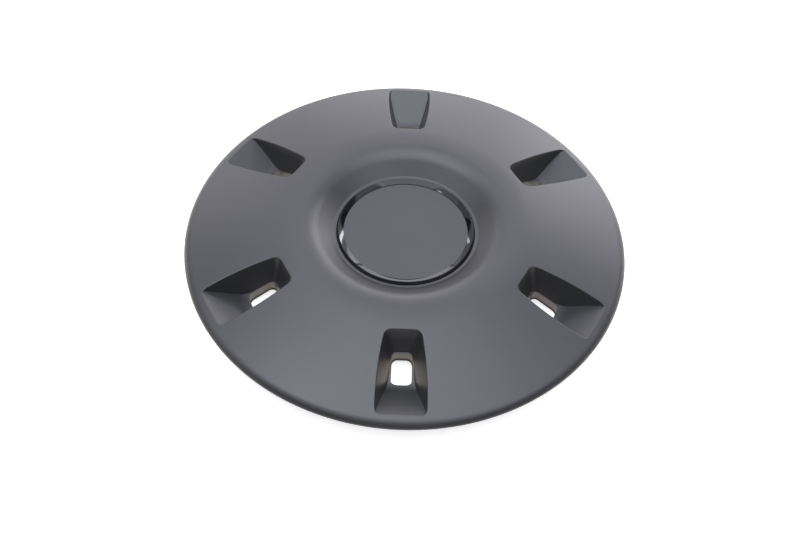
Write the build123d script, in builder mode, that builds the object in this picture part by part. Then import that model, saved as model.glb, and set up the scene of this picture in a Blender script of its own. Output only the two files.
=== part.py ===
"""Hubcap for a steel wheel: a moulded, dished cover with six slotted pockets and a gloss centre ring.

Frame: +Z out of the front face, origin on the axis in the plane of the six feet under the slots.
Heights are measured from that plane, radii from the axis. One pocket points to -Y.
"""

import os
from math import atan2, cos, degrees, radians, sin, tan

from build123d import *

# Cover: overall sizes
cap_diameter = 240
wall = 3

# Front face: a section turned about the axis
rim_height = 12.0
edge_height = 14.7
edge_radius = 3.0
crown_height = 25.9
flank_width = 62
shoulder_radius = 76
shoulder_turn = 9
lip_radius = 18
dish_angle = 40
dish_foot_radius = 3
seat_height = 16.4

# Pockets: outline at the mouth level, with walls that lean inwards below it
pocket_count = 6
mouth_clearance = 1.0
rim_margin = 5
pocket_length = 44.7
mouth_inner_width = 19.4
mouth_outer_width = 32.4
side_bulge = 1.1
inner_lean = 18.2
side_lean = 18.3
mouth_inner_corner = 4.5
mouth_outer_corner = 8
base_inner_corner = 1.8
base_outer_corner = 5
floor_tilt = 16.7
ramp_tilt = 25.4
ramp_offset = 8.35
floor_crease_radius = 4
pocket_base_radius = 1.2
pocket_lip_radius = 0.8

# Slots through the pocket floors, each in a collar that ends in a foot
slot_inset = 30.75
slot_floor_height = 8.45
slot_length = 15.7
slot_width = 11.3
slot_corner = 3.5
slot_depth = 6.0
collar_wall = 2.5
ledge_width = 0.7
ledge_thickness = 0.8

# Centre ring, pegged into a groove in the cover's seat
ring_margin = 1.1
ring_width = 3.9
ring_crest_inset = 1.1
ring_crest_height = 1.6
ring_outer_edge_height = 0.1
ring_inner_edge_height = 0.3
ring_crest_rounding = 0.3
groove_depth = 1.0
groove_clearance = 0.1
peg_count = 3
peg_diameter = 3
peg_clearance = 0.1
peg_head_diameter = 5.5
peg_head_height = 1.2
peg_head_rounding = 0.5

# Places that follow from those sizes, worked inwards from the rim
cap_radius = cap_diameter / 2
crown_radius = cap_radius - flank_width
mouth_outer_radius = cap_radius - rim_margin
mouth_inner_radius = mouth_outer_radius - pocket_length
mouth_level = crown_height + mouth_clearance
slot_radius = mouth_outer_radius - slot_inset
base_level = slot_floor_height - slot_depth - wall
pocket_wall = wall / cos(radians(side_lean))
ramp_start = slot_radius + ramp_offset
ramp_start_height = slot_floor_height - ramp_offset * tan(radians(floor_tilt))
dish_turn = radians(dish_angle)
lip_foot_radius = crown_radius - lip_radius * sin(dish_turn)
dish_rise = crown_height - lip_radius * (1 - cos(dish_turn)) - seat_height
seat_radius = lip_foot_radius - dish_rise / tan(dish_turn) - dish_foot_radius * tan(dish_turn / 2)
seat_underside = seat_height - wall
groove_floor = seat_height - groove_depth
ring_outer_radius = seat_radius - ring_margin
ring_inner_radius = ring_outer_radius - ring_width
ring_crest_radius = ring_outer_radius - ring_crest_inset
peg_circle_radius = ring_outer_radius - ring_width / 2


def tilted_plane(radius, height, tilt):
    """A plane across a pocket along +X that falls outwards by tilt degrees."""
    fall = radians(tilt)
    return Plane((radius, 0, height), x_dir=(0, 1, 0), z_dir=(sin(fall), 0, cos(fall)))


floor_plane = tilted_plane(slot_radius, slot_floor_height, floor_tilt)
ramp_plane = tilted_plane(ramp_start, ramp_start_height, -ramp_tilt)
collar_plane = tilted_plane(slot_radius, slot_floor_height - slot_depth, floor_tilt)

# The flank's chord, from the end of the shoulder to the rim
flank_start = crown_radius + shoulder_radius * sin(radians(shoulder_turn))
flank_start_height = crown_height - shoulder_radius * (1 - cos(radians(shoulder_turn)))
flank_tilt = atan2(flank_start_height - edge_height, cap_radius - flank_start)
flank_plane = tilted_plane(cap_radius, edge_height, degrees(flank_tilt))
flank_lean = radians(shoulder_turn)
edge_lean = 2 * flank_tilt - flank_lean


def face_line(depth):
    """The front face in section, from the axis over the crown to the rim, or the line at a depth below it."""
    crown = (crown_radius, crown_height - depth)
    flank_top = (flank_start - depth * sin(flank_lean), flank_start_height - depth * cos(flank_lean))
    edge = (cap_radius - depth, edge_height - depth * (1 - sin(edge_lean)) / cos(edge_lean))
    with BuildLine() as face:
        lip = JernArc(crown, (-1, 0), lip_radius - depth, dish_angle)
        dish_fall = (lip @ 1).Y - seat_height + depth
        dish_foot = ((lip @ 1).X - dish_fall / tan(dish_turn), seat_height - depth)
        Polyline(lip @ 1, dish_foot, (0, seat_height - depth))
        flank_slopes = [(1, 0), (cos(flank_lean), -sin(flank_lean)), (cos(edge_lean), -sin(edge_lean))]
        Spline(crown, flank_top, edge, tangents=flank_slopes)
        Line(edge, (cap_radius - depth, rim_height))
        fillet(face.vertices().sort_by_distance(dish_foot)[0], dish_foot_radius + depth)
        if edge_radius > depth:
            fillet(face.vertices().sort_by_distance(edge)[0], edge_radius - depth)
    return face.line


def pocket_outline(level, grow):
    """A pocket's outline at one height, along +X, made larger all round by grow."""
    drop = mouth_level - level
    share = drop / (mouth_level - base_level)
    inner = mouth_inner_radius + drop * tan(radians(inner_lean)) - grow
    outer = mouth_outer_radius + grow
    spread = (mouth_outer_width - mouth_inner_width) / 2 / (mouth_outer_radius - mouth_inner_radius)
    narrowing = drop * tan(radians(side_lean)) - grow
    inner_half = mouth_inner_width / 2 + (inner - mouth_inner_radius) * spread - narrowing
    outer_half = mouth_outer_width / 2 + grow * spread - narrowing
    middle = (inner + outer) / 2
    middle_half = (inner_half + outer_half) / 2 + side_bulge
    outer_corner = (outer**2 - outer_half**2) ** 0.5
    with BuildSketch(Plane.XY.offset(level)) as outline:
        with BuildLine():
            Line((inner, -inner_half), (inner, inner_half))
            ThreePointArc((inner, inner_half), (middle, middle_half), (outer_corner, outer_half))
            ThreePointArc((outer_corner, outer_half), (outer, 0), (outer_corner, -outer_half))
            ThreePointArc((outer_corner, -outer_half), (middle, -middle_half), (inner, -inner_half))
        make_face()
        inner_corners = outline.vertices().sort_by(Axis.X)[:2]
        fillet(inner_corners, mouth_inner_corner + share * (base_inner_corner - mouth_inner_corner) + grow)
        outer_corners = outline.vertices().sort_by(Axis.X)[-2:]
        fillet(outer_corners, mouth_outer_corner + share * (base_outer_corner - mouth_outer_corner) + grow)
    return outline.sketch


# The air in one pocket
with BuildPart() as pocket_air:
    add(pocket_outline(base_level, 0))
    add(pocket_outline(mouth_level, 0))
    loft()
    split(bisect_by=floor_plane, keep=Keep.TOP)
    split(bisect_by=ramp_plane, keep=Keep.TOP)
    crease = pocket_air.edges().filter_by(Axis.Y).sort_by(Axis.Z)[0]
    fillet(crease, floor_crease_radius)
    base_faces = pocket_air.faces().filter_by(lambda face: face.normal_at(face.center()).Z < -0.5)
    fillet(base_faces.edges().filter_by(GeomType.BSPLINE), pocket_base_radius)

# The pocket's moulded wall as a solid block under the face, with the slot's collar and its foot
with BuildPart() as pocket_block:
    add(pocket_outline(base_level, pocket_wall))
    add(pocket_outline(mouth_level, pocket_wall))
    loft()
    split(bisect_by=floor_plane.offset(-wall), keep=Keep.TOP)
    split(bisect_by=ramp_plane.offset(-wall), keep=Keep.TOP)
    with BuildSketch(Plane.XY.offset(slot_floor_height)):
        with Locations((slot_radius, 0)):
            RectangleRounded(
                slot_length + 2 * collar_wall, slot_width + 2 * collar_wall, slot_corner + collar_wall
            )
    extrude(amount=-slot_floor_height - wall)
    split(bisect_by=collar_plane, keep=Keep.TOP)
    split(bisect_by=Plane.XY, keep=Keep.TOP)
    split(bisect_by=flank_plane.offset(-wall / 2), keep=Keep.BOTTOM)

# The air in one slot, narrower at the thin ledge round its lower end
with BuildPart() as slot_air:
    with BuildSketch(Plane.XY.offset(mouth_level)) as slot_mouth:
        with Locations((slot_radius, 0)):
            RectangleRounded(slot_length, slot_width, slot_corner)
    extrude(amount=-mouth_level - wall)
    split(bisect_by=collar_plane.offset(ledge_thickness), keep=Keep.TOP)
    with BuildSketch(Plane.XY.offset(mouth_level)):
        offset(slot_mouth.sketch, amount=-ledge_width)
    extrude(amount=-mouth_level - wall)

# Cover: one moulding
with BuildPart() as cover:
    with BuildSketch(Plane.XZ):
        with BuildLine():
            add(face_line(0))
            add(face_line(wall))
            Line((0, seat_height - wall), (0, seat_height))
            Line((cap_radius - wall, rim_height), (cap_radius, rim_height))
        make_face()
    revolve(axis=Axis.Z)
    with PolarLocations(0, pocket_count, start_angle=-90):
        add(pocket_block.part)
    with PolarLocations(0, pocket_count, start_angle=-90):
        add(pocket_air.part, mode=Mode.SUBTRACT)
    fillet(cover.edges(Select.NEW), pocket_lip_radius)
    with PolarLocations(0, pocket_count, start_angle=-90):
        add(slot_air.part, mode=Mode.SUBTRACT)
    with BuildSketch(Plane.XY.offset(seat_height)):
        Circle(ring_outer_radius + groove_clearance)
        Circle(ring_inner_radius - groove_clearance, mode=Mode.SUBTRACT)
    extrude(amount=-groove_depth, mode=Mode.SUBTRACT)
    with BuildSketch(Plane.XY.offset(seat_height)):
        with PolarLocations(peg_circle_radius, peg_count):
            Circle(peg_diameter / 2 + peg_clearance)
    extrude(amount=-2 * wall, mode=Mode.SUBTRACT)

# Centre ring: one gloss moulding, its foot in the groove, its pegs through the seat and headed behind it
with BuildPart() as badge_ring:
    with BuildSketch(Plane.XZ) as ring_section:
        with BuildLine():
            Polyline(
                (ring_inner_radius, groove_floor),
                (ring_outer_radius, groove_floor),
                (ring_outer_radius, seat_height + ring_outer_edge_height),
                (ring_crest_radius, seat_height + ring_crest_height),
                (ring_inner_radius, seat_height + ring_inner_edge_height),
                close=True,
            )
        make_face()
        fillet(ring_section.vertices().sort_by(Axis.Y)[-1], ring_crest_rounding)
    revolve(axis=Axis.Z)
    with BuildSketch(Plane.XY.offset(groove_floor)):
        with PolarLocations(peg_circle_radius, peg_count):
            Circle(peg_diameter / 2)
    extrude(amount=-groove_floor + seat_underside)
    with BuildSketch(Plane.XY.offset(seat_underside)):
        with PolarLocations(peg_circle_radius, peg_count):
            Circle(peg_head_diameter / 2)
    extrude(amount=-peg_head_height)
    fillet(badge_ring.edges().group_by(Axis.Z)[0], peg_head_rounding)

os.makedirs("parts", exist_ok=True)
for part_name, piece in (("cover", cover), ("badge_ring", badge_ring)):
    piece.part.label = part_name
    export_step(piece.part, f"parts/{part_name}.step")
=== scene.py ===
from math import atan2, cos, pi, radians, sin, sqrt, tan

import bmesh
import bpy
import numpy as np
from mathutils import Matrix, Vector


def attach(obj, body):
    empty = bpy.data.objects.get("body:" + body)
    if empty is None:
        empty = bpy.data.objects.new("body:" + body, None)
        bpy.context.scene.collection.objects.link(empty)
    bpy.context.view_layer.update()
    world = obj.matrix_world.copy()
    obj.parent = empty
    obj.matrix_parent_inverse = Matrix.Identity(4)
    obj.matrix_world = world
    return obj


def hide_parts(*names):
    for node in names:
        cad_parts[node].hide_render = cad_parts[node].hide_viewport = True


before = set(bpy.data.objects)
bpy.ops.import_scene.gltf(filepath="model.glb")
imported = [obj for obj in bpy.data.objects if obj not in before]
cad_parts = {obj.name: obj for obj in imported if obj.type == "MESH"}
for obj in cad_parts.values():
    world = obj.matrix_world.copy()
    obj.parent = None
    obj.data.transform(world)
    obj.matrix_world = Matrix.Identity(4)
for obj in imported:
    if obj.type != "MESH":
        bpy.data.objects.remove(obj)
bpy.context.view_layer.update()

# Cover: one round moulding in charcoal plastic with a fine matte grain, three millimetres thick.
# A convex flank runs from the crown to the rolled rim, the centre is dished to a flat seat, and six
# tapered pockets end in slots whose collars are the feet that the cover stands on.
cover_radius = 120.0
wall = 3.0
rim_height = 12.0
rim_edge_height = 14.7
rim_roll_radius, rim_roll_setback = 6.5, 1.0
rim_foot_rounding = 0.5
crown = (58.0, 25.9)
shoulder_radius = 76.0
shoulder_turn = radians(9)
lip_radius = 18.0
dish_turn = radians(38)
dish_foot_radius = 2.0
seat_height = 16.4
groove_inner, groove_outer, groove_depth = 33.93, 38.03, 1.0
mouth_level, base_level = 26.9, -0.55
mouth_inner, mouth_outer = 70.3, 115.0
mouth_inner_width, mouth_outer_width = 19.4, 32.4
side_bulge = 1.1
inner_lean, side_lean = radians(19.0), radians(19.2)
inner_corners = (4.5, 1.8)
outer_corners = (4.5, 3.0)
slot_place, slot_floor = 84.25, 8.45
slot_length, slot_width, slot_corner = 15.7, 11.3, 3.5
slot_depth = 6.0
slot_rounding = 0.3
ledge_width, ledge_height = 0.45, 0.5
collar_wall, pocket_wall = 2.5, 3.5
floor_slope, ramp_slope = tan(radians(16.7)), tan(radians(25.4))
ramp_start = 92.6
crease_rounding = 2.4
pocket_count = 6

shoulder_end = (
    crown[0] + shoulder_radius * sin(shoulder_turn),
    crown[1] - shoulder_radius * (1 - cos(shoulder_turn)),
)
flank_run = cover_radius - shoulder_end[0]
flank_fall = shoulder_end[1] - rim_edge_height
flank_chord = atan2(flank_fall, flank_run)
flank_radius = sqrt(flank_run**2 + flank_fall**2) / (2 * sin(flank_chord - shoulder_turn))
flank_centre = (
    shoulder_end[0] - flank_radius * sin(shoulder_turn),
    shoulder_end[1] - flank_radius * cos(shoulder_turn),
)


def face_height(radius, depth=0.0):
    """Height of the front face outside the crown, or of the level at a depth below it."""
    shoulder_rise = np.sqrt((shoulder_radius - depth) ** 2 - (radius - crown[0]) ** 2)
    flank_rise = np.sqrt((flank_radius - depth) ** 2 - (radius - flank_centre[0]) ** 2)
    on_shoulder = radius < shoulder_end[0] - depth * sin(shoulder_turn)
    return np.where(on_shoulder, crown[1] - shoulder_radius + shoulder_rise, flank_centre[1] + flank_rise)


def pocket_floor(out, depth=0.0):
    """Height of a pocket's floor and ramp, with a soft crease between them, or of the level below it."""
    level = slot_floor - (out - slot_place) * floor_slope - depth * sqrt(1 + floor_slope**2)
    ramp_foot = slot_floor - (ramp_start - slot_place) * floor_slope
    ramp = ramp_foot + (out - ramp_start) * ramp_slope - depth * sqrt(1 + ramp_slope**2)
    blend = np.maximum(crease_rounding - np.abs(level - ramp), 0)
    return np.maximum(level, ramp) + blend**2 / (4 * crease_rounding)


# quads along each stretch of half an outline, and points on the finer lines that they are read from
edge_steps = {"outer": 10, "outer_corner": 10, "side": 20, "inner_corner": 8, "inner": 6}
edge_points, side_points, cut_points = 60, 200, 400


def turn_between(first, second):
    """The angle between two directions."""
    return np.arccos(np.clip(first @ second / np.linalg.norm(first) / np.linalg.norm(second), -1, 1))


def distances(line):
    """How far along a line each of its points is."""
    return np.r_[0, np.cumsum(np.linalg.norm(np.diff(line, axis=0), axis=1))]


def read_line(line, along, places):
    """Points on a line at places along it."""
    return np.stack([np.interp(places, along, line[:, axis]) for axis in range(line.shape[1])], axis=1)


def arc_between(start, corner, end, steps):
    """Points on the round that touches two lines at start and end, in place of the corner between them."""
    share = np.linspace(0, 1, steps + 1)[:, None]
    weight = cos(turn_between(corner - start, end - corner) / 2)
    bottom = (1 - share) ** 2 + 2 * weight * share * (1 - share) + share**2
    return ((1 - share) ** 2 * start + 2 * weight * share * (1 - share) * corner + share**2 * end) / bottom


def half_ring(outer_edge, side_edge, inner_edge, radius_out, radius_in):
    """Joins three edges of half an outline, each a dense line of points, with round corners between them."""
    def cut(edge, distance, from_start):
        line = edge if from_start else edge[::-1]
        along = distances(line)
        kept = read_line(line, along, np.linspace(distance, along[-1], cut_points))
        return kept if from_start else kept[::-1]

    def resample(edge, steps):
        along = distances(edge)
        return read_line(edge, along, np.linspace(0, along[-1], steps + 1))

    def reach(first, second, radius):
        return radius * tan(turn_between(first[-1] - first[-2], second[1] - second[0]) / 2)

    reach_out = reach(outer_edge, side_edge, radius_out)
    reach_in = reach(side_edge, inner_edge, radius_in)
    outer_corner, inner_corner = side_edge[0].copy(), side_edge[-1].copy()
    outer_edge = resample(cut(outer_edge, reach_out, False), edge_steps["outer"])
    side_edge = resample(cut(cut(side_edge, reach_out, True), reach_in, False), edge_steps["side"])
    inner_edge = resample(cut(inner_edge, reach_in, True), edge_steps["inner"])
    round_out = arc_between(outer_edge[-1], outer_corner, side_edge[0], edge_steps["outer_corner"])
    round_in = arc_between(side_edge[-1], inner_corner, inner_edge[0], edge_steps["inner_corner"])
    return np.concatenate([outer_edge, round_out[1:-1], side_edge, round_in[1:-1], inner_edge])


def pocket_half(level, grow=0.0):
    """Half a pocket's outline at one height, made larger all round by grow."""
    drop = mouth_level - level
    share = drop / (mouth_level - base_level)
    inner = mouth_inner + drop * tan(inner_lean) - grow
    outer = mouth_outer + grow
    spread = (mouth_outer_width - mouth_inner_width) / 2 / (mouth_outer - mouth_inner)
    narrowing = drop * tan(side_lean) - grow
    inner_half = mouth_inner_width / 2 + (inner - mouth_inner) * spread - narrowing
    outer_half = mouth_outer_width / 2 + grow * spread - narrowing
    turn = np.linspace(0, np.arcsin(outer_half / outer), edge_points)
    outer_edge = np.stack([outer * np.cos(turn), outer * np.sin(turn)], axis=1)
    way = np.linspace(0, 1, side_points)
    side_edge = np.stack([
        outer_edge[-1, 0] + (inner - outer_edge[-1, 0]) * way,
        outer_half + (inner_half - outer_half) * way + 4 * side_bulge * way * (1 - way),
    ], axis=1)
    inner_edge = np.linspace((inner, inner_half), (inner, 0.0), edge_points)
    corners = [a + share * (b - a) + grow for a, b in (outer_corners, inner_corners)]
    return half_ring(outer_edge, side_edge, inner_edge, *corners)


def slot_half(grow=0.0):
    """Half a slot's outline, made larger all round by grow."""
    half_length, half_width = slot_length / 2 + grow, slot_width / 2 + grow
    inner, outer = slot_place - half_length, slot_place + half_length
    outer_edge = np.linspace((outer, 0.0), (outer, half_width), edge_points)
    side_edge = np.linspace((outer, half_width), (inner, half_width), edge_points)
    inner_edge = np.linspace((inner, half_width), (inner, 0.0), edge_points)
    return half_ring(outer_edge, side_edge, inner_edge, slot_corner + grow, slot_corner + grow)


def sector_half(inner, outer):
    """Half the boundary of one pocket's sixth of the cover, between two radii."""
    steps = edge_steps
    outer_steps = steps["outer"] + steps["outer_corner"] // 2
    inner_steps = steps["inner"] + steps["inner_corner"] // 2
    side_steps = sum(steps.values()) - outer_steps - inner_steps
    half_angle = pi / pocket_count
    turn = np.linspace(0, half_angle, outer_steps + 1)
    outer_edge = outer * np.stack([np.cos(turn), np.sin(turn)], axis=1)
    side = np.linspace(outer, inner, side_steps + 1)[1:-1, None] * np.array([cos(half_angle), sin(half_angle)])
    turn = np.linspace(half_angle, 0, inner_steps + 1)
    inner_edge = inner * np.stack([np.cos(turn), np.sin(turn)], axis=1)
    return np.concatenate([outer_edge, side, inner_edge])


def meeting(upper, lower, start, end):
    """Where, from start to end in plan, the upper level first rises over the lower one."""
    halvings = 40
    low, high = np.zeros(len(start)), np.ones(len(start))
    for _ in range(halvings):
        middle = (low + high) / 2
        place = start + (end - start) * middle[:, None]
        above = upper(place) > lower(place)
        low, high = np.where(above, low, middle), np.where(above, middle, high)
    return start + (end - start) * low[:, None]


def pocket_edges(depth, grow, target):
    """Plan places of a pocket's lip and base, and the lip's outward direction, at a depth below the front."""
    top, bottom = pocket_half(mouth_level, grow), pocket_half(base_level, grow)
    height = mouth_level - base_level
    face = lambda place: face_height(np.linalg.norm(place, axis=1), depth)
    floor = lambda place: pocket_floor(place[:, 0], depth)
    passes = 60
    at_face, at_floor = np.zeros(len(top)), np.zeros(len(top))
    for _ in range(passes):
        at_face = (mouth_level - face(top + (bottom - top) * at_face[:, None])) / height
        at_floor = (mouth_level - floor(top + (bottom - top) * at_floor[:, None])) / height
    lip = top + (bottom - top) * at_face[:, None]
    base = top + (bottom - top) * at_floor[:, None]
    runout = meeting(face, floor, lip, target)
    no_wall = (at_floor < at_face)[:, None]
    lip, base = np.where(no_wall, runout, lip), np.where(no_wall, runout, base)
    along = np.gradient(top, axis=0)
    outward = np.stack([along[:, 1], -along[:, 0]], axis=1)
    return lip, base, outward / np.linalg.norm(outward, axis=1)[:, None]


fine_steps = 24
rounding_kernel = np.convolve(np.ones(15) / 15, np.ones(11) / 11)
crowding_reach = 0.6


def smoothed(stretches, width, count, focus):
    """One section line for each outline point: its stretches joined, its corners rounded over a width,
    and read again as a count of points that crowd near the corners by the focus."""
    lines = []
    for parts in zip(*[np.moveaxis(part, 0, 1) for part in stretches]):
        line = np.concatenate([parts[0]] + [part[1:] for part in parts[1:]])
        corners = np.cumsum([np.linalg.norm(np.diff(part, axis=0), axis=1).sum() for part in parts])[:-1]
        length = distances(line)
        step = width / fine_steps
        places = np.arange(0, length[-1] + step / 2, step)
        places = places * (length[-1] / (round(length[-1] / step) * step))
        fine = read_line(line, length, places)
        before = fine[0] + (fine[0] - fine[1]) * np.arange(fine_steps, 0, -1)[:, None]
        after = fine[-1] + (fine[-1] - fine[-2]) * np.arange(1, fine_steps + 1)[:, None]
        fine = np.concatenate([before, fine, after])
        fine = np.stack([np.convolve(fine[:, axis], rounding_kernel, "valid") for axis in range(3)], axis=1)
        trim = (len(fine) - len(places)) // 2
        fine = fine[trim:trim + len(places)]
        crowding = np.full(len(places), 1.0 / length[-1])
        for corner in corners:
            crowding += focus / width * np.exp(-(((places - corner) / (crowding_reach * width)) ** 2))
        share = np.r_[0, np.cumsum((crowding[1:] + crowding[:-1]) / 2 * np.diff(places))]
        at = np.interp(np.linspace(0, share[-1], count), share, places)
        lines.append(read_line(fine, places, at))
    return np.array(lines).transpose(1, 0, 2)


def stretch(start, end, height, count):
    """A straight plan stretch from start to end for each outline point, at heights that a function gives."""
    share = np.linspace(0, 1, count)[:, None, None]
    plan = start[None] + (end - start)[None] * share
    return np.concatenate([plan, height(plan)[..., None]], axis=2)


def upright(place, low, high, count):
    """A stretch that stands on the plan places, between two heights."""
    share = np.linspace(0, 1, count)[:, None]
    height = low[None] + (high - low)[None] * share
    return np.concatenate([np.repeat(place[None], count, axis=0), height[..., None]], axis=2)


def straight(start, start_height, end, end_height, count):
    """A straight stretch in space for each outline point."""
    share = np.linspace(0, 1, count)[:, None, None]
    first = np.concatenate([start, start_height[:, None]], axis=1)
    last = np.concatenate([end, end_height[:, None]], axis=1)
    return first[None] + (last - first)[None] * share


face_at = lambda plan: face_height(np.linalg.norm(plan, axis=-1))
back_at = lambda plan: face_height(np.linalg.norm(plan, axis=-1), wall)
floor_at = lambda plan: pocket_floor(plan[..., 0])
floor_back_at = lambda plan: pocket_floor(plan[..., 0], wall)
collar_inside = lambda plan: slot_floor - slot_depth - (plan[..., 0] - slot_place) * floor_slope
collar_at = lambda plan: np.maximum(collar_inside(plan), 0.0)

# front of a pocket, from the face over the lip, down the wall and along the floor to the slot
lip_rounding, lip_apron = 1.3, 2.2
slot_edge, slot_shelf = slot_half(), slot_half(slot_rounding)
lip, base, outward = pocket_edges(0.0, 0.0, slot_shelf)
apron = lip + lip_apron * outward
pocket_front = smoothed([
    stretch(apron, lip, face_at, 12),
    straight(lip, face_at(lip), base, floor_at(base), 12),
    stretch(base, slot_shelf, floor_at, 60),
], width=lip_rounding, count=34, focus=0.9)

# slot: its rounded edge, its wall, the thin ledge at its lower end, and the collar round it
throat_rounding = 0.4
ledge_edge, collar_edge = slot_half(-ledge_width), slot_half(collar_wall)
ledge_top = collar_inside(slot_edge) + ledge_height
slot_throat = smoothed([
    stretch(slot_shelf, slot_edge, floor_at, 4),
    upright(slot_edge, floor_at(slot_edge), ledge_top, 12),
    straight(slot_edge, ledge_top, ledge_edge, ledge_top, 4),
    upright(ledge_edge, ledge_top, collar_at(ledge_edge), 4),
    straight(ledge_edge, collar_at(ledge_edge), collar_edge, collar_at(collar_edge), 24),
    upright(collar_edge, collar_at(collar_edge), floor_back_at(collar_edge), 8),
], width=throat_rounding, count=40, focus=0.7)

# back of a pocket, from the collar along its underside and up its outer wall to the back of the face
back_rounding, back_apron = 1.0, 1.6
lip_back, base_back, outward_back = pocket_edges(wall, pocket_wall, collar_edge)
apron_back = lip_back + back_apron * outward_back
pocket_back = smoothed([
    stretch(collar_edge, base_back, floor_back_at, 30),
    straight(base_back, floor_back_at(base_back), lip_back, back_at(lip_back), 12),
    stretch(lip_back, apron_back, back_at, 12),
], width=back_rounding, count=22, focus=0.9)


def filled(inner_ring, boundary, height, count):
    """Rings that spread from a ring round a pocket to the sector's boundary."""
    widening = 1.2
    share = np.linspace(0, 1, count)[:, None, None] ** widening
    plan = inner_ring[None] * (1 - share) + boundary[None] * share
    return np.concatenate([plan, height(plan)[..., None]], axis=2)


sector_inner = 62.0
edge_slope = 2 * flank_chord - shoulder_turn
roll_end = np.arccos((rim_roll_radius - rim_roll_setback) / rim_roll_radius)
rim_start = cover_radius - rim_roll_radius * (cos(roll_end) - sin(edge_slope))
front_edge = sector_half(sector_inner, rim_start)
back_edge = sector_half(sector_inner, cover_radius - wall)
front_fill = filled(pocket_front[0, :, :2], front_edge, face_at, 9)
back_fill = filled(pocket_back[-1, :, :2], back_edge, back_at, 8)


def lathe_arc(centre, radius, start, end, steps):
    """Points on an arc of a turned section."""
    turn = np.linspace(start, end, steps + 1)
    return [(centre[0] + radius * cos(t), centre[1] + radius * sin(t)) for t in turn]


# the rim's section, from the flank over the rolled edge and round its foot to the back
roll_centre = (
    cover_radius - rim_roll_radius * cos(roll_end),
    float(face_height(np.array(rim_start))) - rim_roll_radius * cos(edge_slope),
)
rim_section = lathe_arc(roll_centre, rim_roll_radius, pi / 2 - edge_slope, roll_end, 14)
foot_centre = (cover_radius - rim_foot_rounding, rim_height + rim_foot_rounding)
rim_section += lathe_arc(foot_centre, rim_foot_rounding, 0, -pi / 2, 4)
rim_section += [(cover_radius - wall, rim_height)]
rim_section += [(cover_radius - wall, float(face_height(np.array(cover_radius - wall), wall)))]


def centre_section(depth):
    """The section from the sector's inner edge over the lip and down the dish to the seat."""
    centre = (crown[0], crown[1] - lip_radius)
    crown_radii = np.linspace(sector_inner, crown[0], 4)[:-1]
    points = [(r, float(face_height(np.array(r), depth))) for r in crown_radii]
    points += lathe_arc(centre, lip_radius - depth, pi / 2, pi / 2 + dish_turn, 12)
    rise = points[-1][1] - (seat_height - depth)
    foot = points[-1][0] - rise / tan(dish_turn)
    foot_radius = dish_foot_radius + depth
    seat_edge = foot - foot_radius * tan(dish_turn / 2)
    dish_foot = (seat_edge, seat_height - depth + foot_radius)
    points += lathe_arc(dish_foot, foot_radius, dish_turn - pi / 2, -pi / 2, 8)
    return points


seat_middle = 17.0
groove_floor = seat_height - groove_depth
front_centre = centre_section(0.0)
front_centre += [(groove_outer, seat_height), (groove_outer, groove_floor)]
front_centre += [(groove_inner, groove_floor), (groove_inner, seat_height)]
front_centre += [(seat_middle, seat_height), (0.0, seat_height)]
back_centre = centre_section(wall) + [(seat_middle, seat_height - wall), (0.0, seat_height - wall)]


def sector_mesh(name, rings, sections):
    """A mesh of half rings round a pocket, mirrored, with turned strips at the rim and the centre."""
    mesh_points, faces = [], []

    def add_grid(grid, closed):
        first = len(mesh_points)
        rows, columns = grid.shape[:2]
        mesh_points.extend(grid.reshape(-1, 3))
        for row in range(rows - 1):
            for column in range(columns if closed else columns - 1):
                beside = (column + 1) % columns
                near, far = first + row * columns, first + (row + 1) * columns
                faces.append((near + column, near + beside, far + beside, far + column))

    half = np.concatenate(rings)
    mirrored = half[:, -2:0:-1] * np.array([1.0, -1.0, 1.0])
    add_grid(np.concatenate([half, mirrored], axis=1), True)
    for section, angles in sections:
        radius, height = np.array(section).T
        grid = np.stack([
            radius[:, None] * np.cos(angles),
            radius[:, None] * np.sin(angles),
            np.repeat(height[:, None], len(angles), axis=1),
        ], axis=2)
        add_grid(grid, False)
    mesh = bpy.data.meshes.new(name)
    mesh.from_pydata([tuple(point / 1000) for point in np.array(mesh_points)], [], faces)
    return mesh


def boundary_angles(edge, radius):
    """The angles of the boundary's points at one radius, on both halves."""
    slack = 1e-6
    on_arc = np.abs(np.linalg.norm(edge, axis=1) - radius) < slack
    angles = np.arctan2(edge[on_arc, 1], edge[on_arc, 0])
    return np.unique(np.round(np.concatenate([angles, -angles]), 9))


inner_angles = boundary_angles(front_edge, sector_inner)
outer_angles = boundary_angles(front_edge, rim_start)
cover_sixth = sector_mesh(
    "cover_sixth",
    [front_fill[::-1], pocket_front[1:], slot_throat[1:], pocket_back[1:], back_fill[1:]],
    [(rim_section, outer_angles), (front_centre, inner_angles), (back_centre, inner_angles)],
)


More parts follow.
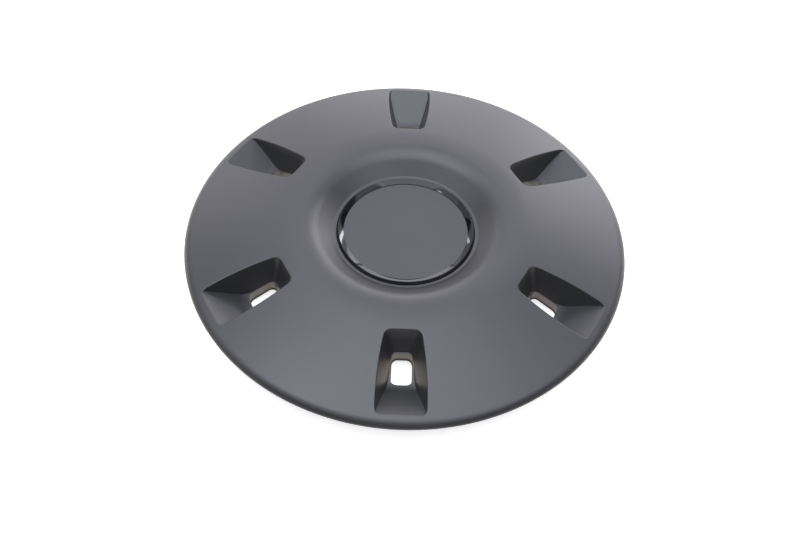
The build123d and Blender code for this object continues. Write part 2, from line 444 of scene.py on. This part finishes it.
def round_the_axis(name, piece_mesh, count, start_angle, material, sharp_from):
    """Geometry Nodes: repeats a mesh round the Z axis, welds the seams and gives it a material.
    Edges that turn by more than sharp_from degrees stay sharp."""
    weld_distance = 8e-6
    tree = bpy.data.node_groups.new("repeat_round_axis", "GeometryNodeTree")
    sockets = tree.interface
    sockets.new_socket("Piece", in_out="INPUT", socket_type="NodeSocketGeometry")
    count_socket = sockets.new_socket("Count", in_out="INPUT", socket_type="NodeSocketInt")
    start_socket = sockets.new_socket("Start angle", in_out="INPUT", socket_type="NodeSocketFloat")
    weld_socket = sockets.new_socket("Weld distance", in_out="INPUT", socket_type="NodeSocketFloat")
    material_socket = sockets.new_socket("Finish", in_out="INPUT", socket_type="NodeSocketMaterial")
    sockets.new_socket("Result", in_out="OUTPUT", socket_type="NodeSocketGeometry")
    nodes, link = tree.nodes, tree.links.new
    group_in, group_out = nodes.new("NodeGroupInput"), nodes.new("NodeGroupOutput")
    places = nodes.new("GeometryNodePoints")
    link(group_in.outputs["Count"], places.inputs["Count"])
    index = nodes.new("GeometryNodeInputIndex")
    turn_share = nodes.new("ShaderNodeMath")
    turn_share.operation = "DIVIDE"
    link(index.outputs[0], turn_share.inputs[0])
    link(group_in.outputs["Count"], turn_share.inputs[1])
    turn = nodes.new("ShaderNodeMath")
    turn.operation = "MULTIPLY_ADD"
    turn.inputs[1].default_value = 2 * pi
    link(turn_share.outputs[0], turn.inputs[0])
    link(group_in.outputs["Start angle"], turn.inputs[2])
    rotation = nodes.new("ShaderNodeCombineXYZ")
    link(turn.outputs[0], rotation.inputs["Z"])
    instances = nodes.new("GeometryNodeInstanceOnPoints")
    link(places.outputs[0], instances.inputs["Points"])
    link(group_in.outputs["Piece"], instances.inputs["Instance"])
    link(rotation.outputs[0], instances.inputs["Rotation"])
    realize = nodes.new("GeometryNodeRealizeInstances")
    link(instances.outputs[0], realize.inputs[0])
    weld = nodes.new("GeometryNodeMergeByDistance")
    link(realize.outputs[0], weld.inputs["Geometry"])
    link(group_in.outputs["Weld distance"], weld.inputs["Distance"])
    finish = nodes.new("GeometryNodeSetMaterial")
    link(weld.outputs[0], finish.inputs["Geometry"])
    link(group_in.outputs["Finish"], finish.inputs["Material"])
    link(finish.outputs[0], group_out.inputs[0])
    piece = bpy.data.objects.new(name, piece_mesh)
    bpy.context.collection.objects.link(piece)
    modifier = piece.modifiers.new("round_axis", "NODES")
    modifier.node_group = tree
    modifier[count_socket.identifier] = count
    modifier[start_socket.identifier] = start_angle
    modifier[weld_socket.identifier] = weld_distance
    modifier[material_socket.identifier] = material
    evaluated = piece.evaluated_get(bpy.context.evaluated_depsgraph_get())
    whole = bpy.data.meshes.new_from_object(evaluated)
    piece.modifiers.remove(modifier)
    whole.name = name
    piece.data = whole
    shape = bmesh.new()
    shape.from_mesh(whole)
    bmesh.ops.dissolve_degenerate(shape, dist=1e-7, edges=shape.edges)
    bmesh.ops.recalc_face_normals(shape, faces=shape.faces)
    for face in shape.faces:
        face.smooth = True
    for edge in shape.edges:
        edge.smooth = len(edge.link_faces) != 2 or edge.calc_face_angle() < radians(sharp_from)
    shape.to_mesh(whole)
    shape.free()
    return piece


charcoal = bpy.data.materials.new("charcoal_matte_plastic")
charcoal.use_nodes = True
nodes, link = charcoal.node_tree.nodes, charcoal.node_tree.links.new
plastic = nodes["Principled BSDF"]
plastic.inputs["Specular IOR Level"].default_value = 0.95
place = nodes.new("ShaderNodeTexCoord")
mottle = nodes.new("ShaderNodeTexNoise")
mottle.inputs["Scale"].default_value = 30.0
mottle.inputs["Detail"].default_value = 4.0
link(place.outputs["Object"], mottle.inputs["Vector"])
tone = nodes.new("ShaderNodeValToRGB")
tone.color_ramp.elements[0].position, tone.color_ramp.elements[1].position = 0.3, 0.7
tone.color_ramp.elements[0].color = (0.028, 0.028, 0.030, 1)
tone.color_ramp.elements[1].color = (0.033, 0.033, 0.035, 1)
link(mottle.outputs["Fac"], tone.inputs["Fac"])
link(tone.outputs["Color"], plastic.inputs["Base Color"])
gloss = nodes.new("ShaderNodeMapRange")
gloss.inputs["To Min"].default_value, gloss.inputs["To Max"].default_value = 0.37, 0.43
link(mottle.outputs["Fac"], gloss.inputs["Value"])
link(gloss.outputs["Result"], plastic.inputs["Roughness"])
grain = nodes.new("ShaderNodeTexNoise")
grain.inputs["Scale"].default_value = 2600.0
grain.inputs["Detail"].default_value = 2.0
link(place.outputs["Object"], grain.inputs["Vector"])
grain_relief = nodes.new("ShaderNodeBump")
grain_relief.inputs["Strength"].default_value = 0.12
grain_relief.inputs["Distance"].default_value = 0.00005
link(grain.outputs["Fac"], grain_relief.inputs["Height"])
link(grain_relief.outputs["Normal"], plastic.inputs["Normal"])

cover = round_the_axis(
    "cover", cover_sixth, pocket_count, start_angle=radians(-90), material=charcoal, sharp_from=50
)
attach(cover, "root")
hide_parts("cover")

# Centre ring: a thin moulding in gloss black plastic with a sharp crest, set in a groove in the seat.
# Three pegs under it pass through the seat and are flattened behind it, which holds it for good.
ring_outer, ring_crest, ring_inner = 37.93, 36.83, 34.03
ring_foot = groove_floor
outer_top, crest_top, inner_top = seat_height + 0.1, seat_height + 1.6, seat_height + 0.3
crest_rounding = 0.3
peg_count, peg_radius, peg_head_radius, peg_head_height, peg_rounding = 3, 1.5, 2.75, 1.2, 0.5
peg_root = 0.3
outer_rise = np.array((ring_crest - ring_outer, crest_top - outer_top))
inner_fall = np.array((ring_inner - ring_crest, inner_top - crest_top))
crest_cut = crest_rounding * tan(turn_between(outer_rise, inner_fall) / 2)
crest_point = np.array((ring_crest, crest_top))
crest_arc = arc_between(
    crest_point - outer_rise / np.linalg.norm(outer_rise) * crest_cut,
    crest_point,
    crest_point + inner_fall / np.linalg.norm(inner_fall) * crest_cut,
    6,
)
ring_section = [(ring_inner, ring_foot), (ring_outer, ring_foot), (ring_outer, outer_top)]
ring_section += [tuple(point) for point in crest_arc] + [(ring_inner, inner_top), (ring_inner, ring_foot)]
peg_place = (ring_outer + ring_inner) / 2
peg_top, peg_seat = ring_foot + peg_root, seat_height - wall
peg_section = [(0.0, peg_top), (peg_radius, peg_top), (peg_radius, peg_seat), (peg_head_radius, peg_seat)]
peg_section += lathe_arc(
    (peg_head_radius - peg_rounding, peg_seat - peg_head_height + peg_rounding), peg_rounding, 0, -pi / 2, 5
)
peg_section += [(0.0, peg_seat - peg_head_height)]


def ring_third_mesh():
    """A third of the ring with the peg under its middle."""
    ring_columns, peg_columns = 97, 33
    points, faces = [], []
    for section, angles, centre in (
        (ring_section, np.linspace(-pi / peg_count, pi / peg_count, ring_columns), 0.0),
        (peg_section, np.linspace(0, 2 * pi, peg_columns), peg_place),
    ):
        first, columns = len(points), len(angles)
        for radius, height in section:
            circle = [(centre + radius * cos(t), radius * sin(t), height) for t in angles]
            points += [(x / 1000, y / 1000, z / 1000) for x, y, z in circle]
        for row in range(len(section) - 1):
            for column in range(columns - 1):
                near, far = first + row * columns + column, first + (row + 1) * columns + column
                faces.append((near, near + 1, far + 1, far))
    mesh = bpy.data.meshes.new("ring_third")
    mesh.from_pydata(points, [], faces)
    return mesh


gloss_black = bpy.data.materials.new("gloss_black_plastic")
gloss_black.use_nodes = True
nodes, link = gloss_black.node_tree.nodes, gloss_black.node_tree.links.new
lacquer = nodes["Principled BSDF"]
lacquer.inputs["Base Color"].default_value = (0.006, 0.006, 0.007, 1)
lacquer.inputs["Specular IOR Level"].default_value = 0.5
place = nodes.new("ShaderNodeTexCoord")
smear = nodes.new("ShaderNodeTexNoise")
smear.inputs["Scale"].default_value = 220.0
smear.inputs["Detail"].default_value = 3.0
link(place.outputs["Object"], smear.inputs["Vector"])
polish = nodes.new("ShaderNodeMapRange")
polish.inputs["To Min"].default_value, polish.inputs["To Max"].default_value = 0.05, 0.10
link(smear.outputs["Fac"], polish.inputs["Value"])
link(polish.outputs["Result"], lacquer.inputs["Roughness"])

badge_ring = round_the_axis(
    "badge_ring", ring_third_mesh(), peg_count, start_angle=0.0, material=gloss_black, sharp_from=28
)
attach(badge_ring, "root")
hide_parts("badge_ring")

# Studio: a white paper floor that glows a little, as a light table does, one soft panel overhead, three
# rows of panels round the cover and four narrow lamps for its lights and glints. The camera stands in
# front and above, where the photograph was taken.
floor_reach, floor_height = 3.0, -0.0003
floor_turns = ((-1, -1), (1, -1), (1, 1), (-1, 1))
floor_mesh = bpy.data.meshes.new("studio_floor")
floor_corners = [(x * floor_reach, y * floor_reach, floor_height) for x, y in floor_turns]
floor_mesh.from_pydata(floor_corners, [], [(0, 1, 2, 3)])
studio_floor = bpy.data.objects.new("studio_floor", floor_mesh)
bpy.context.collection.objects.link(studio_floor)
paper = bpy.data.materials.new("white_paper")
paper.use_nodes = True
nodes, link = paper.node_tree.nodes, paper.node_tree.links.new
sheet = nodes["Principled BSDF"]
sheet.inputs["Base Color"].default_value = (0.86, 0.86, 0.86, 1)
sheet.inputs["Roughness"].default_value = 0.9
sheet.inputs["Specular IOR Level"].default_value = 0.0
ray = nodes.new("ShaderNodeLightPath")
seen_white = nodes.new("ShaderNodeEmission")
shown = nodes.new("ShaderNodeMath")
shown.operation = "MULTIPLY"
shown.inputs[1].default_value = 0.72
link(ray.outputs["Is Camera Ray"], shown.inputs[0])
link(shown.outputs[0], seen_white.inputs["Strength"])
seen_white.inputs["Color"].default_value = (1, 1, 1, 1)
mirrored_glow = nodes.new("ShaderNodeEmission")
link(ray.outputs["Is Glossy Ray"], mirrored_glow.inputs["Strength"])
mirrored_glow.inputs["Color"].default_value = (1.0, 0.84, 0.68, 1)
glows, with_paper = nodes.new("ShaderNodeAddShader"), nodes.new("ShaderNodeAddShader")
link(seen_white.outputs[0], glows.inputs[0])
link(mirrored_glow.outputs[0], glows.inputs[1])
link(sheet.outputs[0], with_paper.inputs[0])
link(glows.outputs[0], with_paper.inputs[1])
link(with_paper.outputs[0], nodes["Material Output"].inputs["Surface"])
floor_mesh.materials.append(paper)

scene = bpy.context.scene
scene.view_settings.view_transform = "Standard"
world = bpy.data.worlds.new("studio")
scene.world = world
world.use_nodes = True
nodes, link = world.node_tree.nodes, world.node_tree.links.new
sky = nodes["Background"]
ray = nodes.new("ShaderNodeLightPath")
strength = nodes.new("ShaderNodeMapRange")
strength.inputs["To Min"].default_value, strength.inputs["To Max"].default_value = 0.03, 1.0
link(ray.outputs["Is Camera Ray"], strength.inputs["Value"])
link(strength.outputs["Result"], sky.inputs["Strength"])
sky.inputs["Color"].default_value = (1, 1, 1, 1)

lamp_distance = 1.5


def soft_box(name, azimuth, elevation, size, brightness, colour):
    """A rectangular lamp that faces the cover from a direction in degrees."""
    lamp = bpy.data.lights.new(name, "AREA")
    lamp.shape = "RECTANGLE"
    lamp.size, lamp.size_y = size
    lamp.energy = pi * size[0] * size[1] * brightness
    lamp.color = colour
    box = bpy.data.objects.new(name, lamp)
    across, rise = cos(radians(elevation)), sin(radians(elevation))
    direction = Vector((across * cos(radians(azimuth)), across * sin(radians(azimuth)), rise))
    box.location = direction * lamp_distance
    box.rotation_euler = (-direction).to_track_quat("-Z", "Y").to_euler()
    bpy.context.collection.objects.link(box)


overhead_colour, back_colour = (0.945, 0.99, 1.09), (1.0, 0.985, 1.08)
soft_box("overhead_panel", 0, 90, (0.9, 0.9), 2.56, overhead_colour)
upper_panels = {0: 1.0, 45: 0.15, 90: 0.97, 135: 0.79, 180: 0.62, 225: 0.85, 270: 0.32, 315: 1.17}
middle_panels = {0: 0.36, 72: 1.26, 108: 0.97, 180: 1.1}
low_panels = {30: 1.0, 60: 3.5, 90: 2.6, 120: 1.5, 150: 0.8}
for row, elevation, size, colour, panels in (
    ("upper", 60, (0.9, 0.8), overhead_colour, upper_panels),
    ("middle", 35, (0.85, 0.7), back_colour, middle_panels),
    ("low", 12, (0.75, 0.5), back_colour, low_panels),
):
    for azimuth, brightness in panels.items():
        soft_box(f"{row}_panel_{azimuth}", azimuth, elevation, size, brightness, colour)
soft_box("right_strip_lamp", 48, 30, (0.8, 0.08), 14.0, back_colour)
soft_box("left_strip_lamp", 132, 30, (0.6, 0.08), 8.0, back_colour)
soft_box("upper_left_lamp", 184, 67, (0.3, 0.2), 8.0, overhead_colour)
soft_box("front_strip_lamp", 270, 60, (0.9, 0.3), 2.5, overhead_colour)

camera_place = Vector((-0.005914, -0.322865, 0.395993))
camera_aim = Vector((-0.002456, -0.022481, 0.0124))
camera_roll = radians(2.621)
focal_pixels, image_width = 910.0, 800.0
forward = (camera_aim - camera_place).normalized()
level = forward.cross(Vector((0, 0, 1))).normalized()
above = level.cross(forward)
right = level * cos(camera_roll) + above * sin(camera_roll)
up = above * cos(camera_roll) - level * sin(camera_roll)
camera = bpy.data.cameras.new("camera")
camera.sensor_width = 36.0
camera.lens = camera.sensor_width * focal_pixels / image_width
camera.clip_start = 0.01
view = bpy.data.objects.new("camera", camera)
view.matrix_world = Matrix((
    (right.x, up.x, -forward.x, camera_place.x),
    (right.y, up.y, -forward.y, camera_place.y),
    (right.z, up.z, -forward.z, camera_place.z),
    (0, 0, 0, 1),
))
bpy.context.collection.objects.link(view)
scene.camera = view
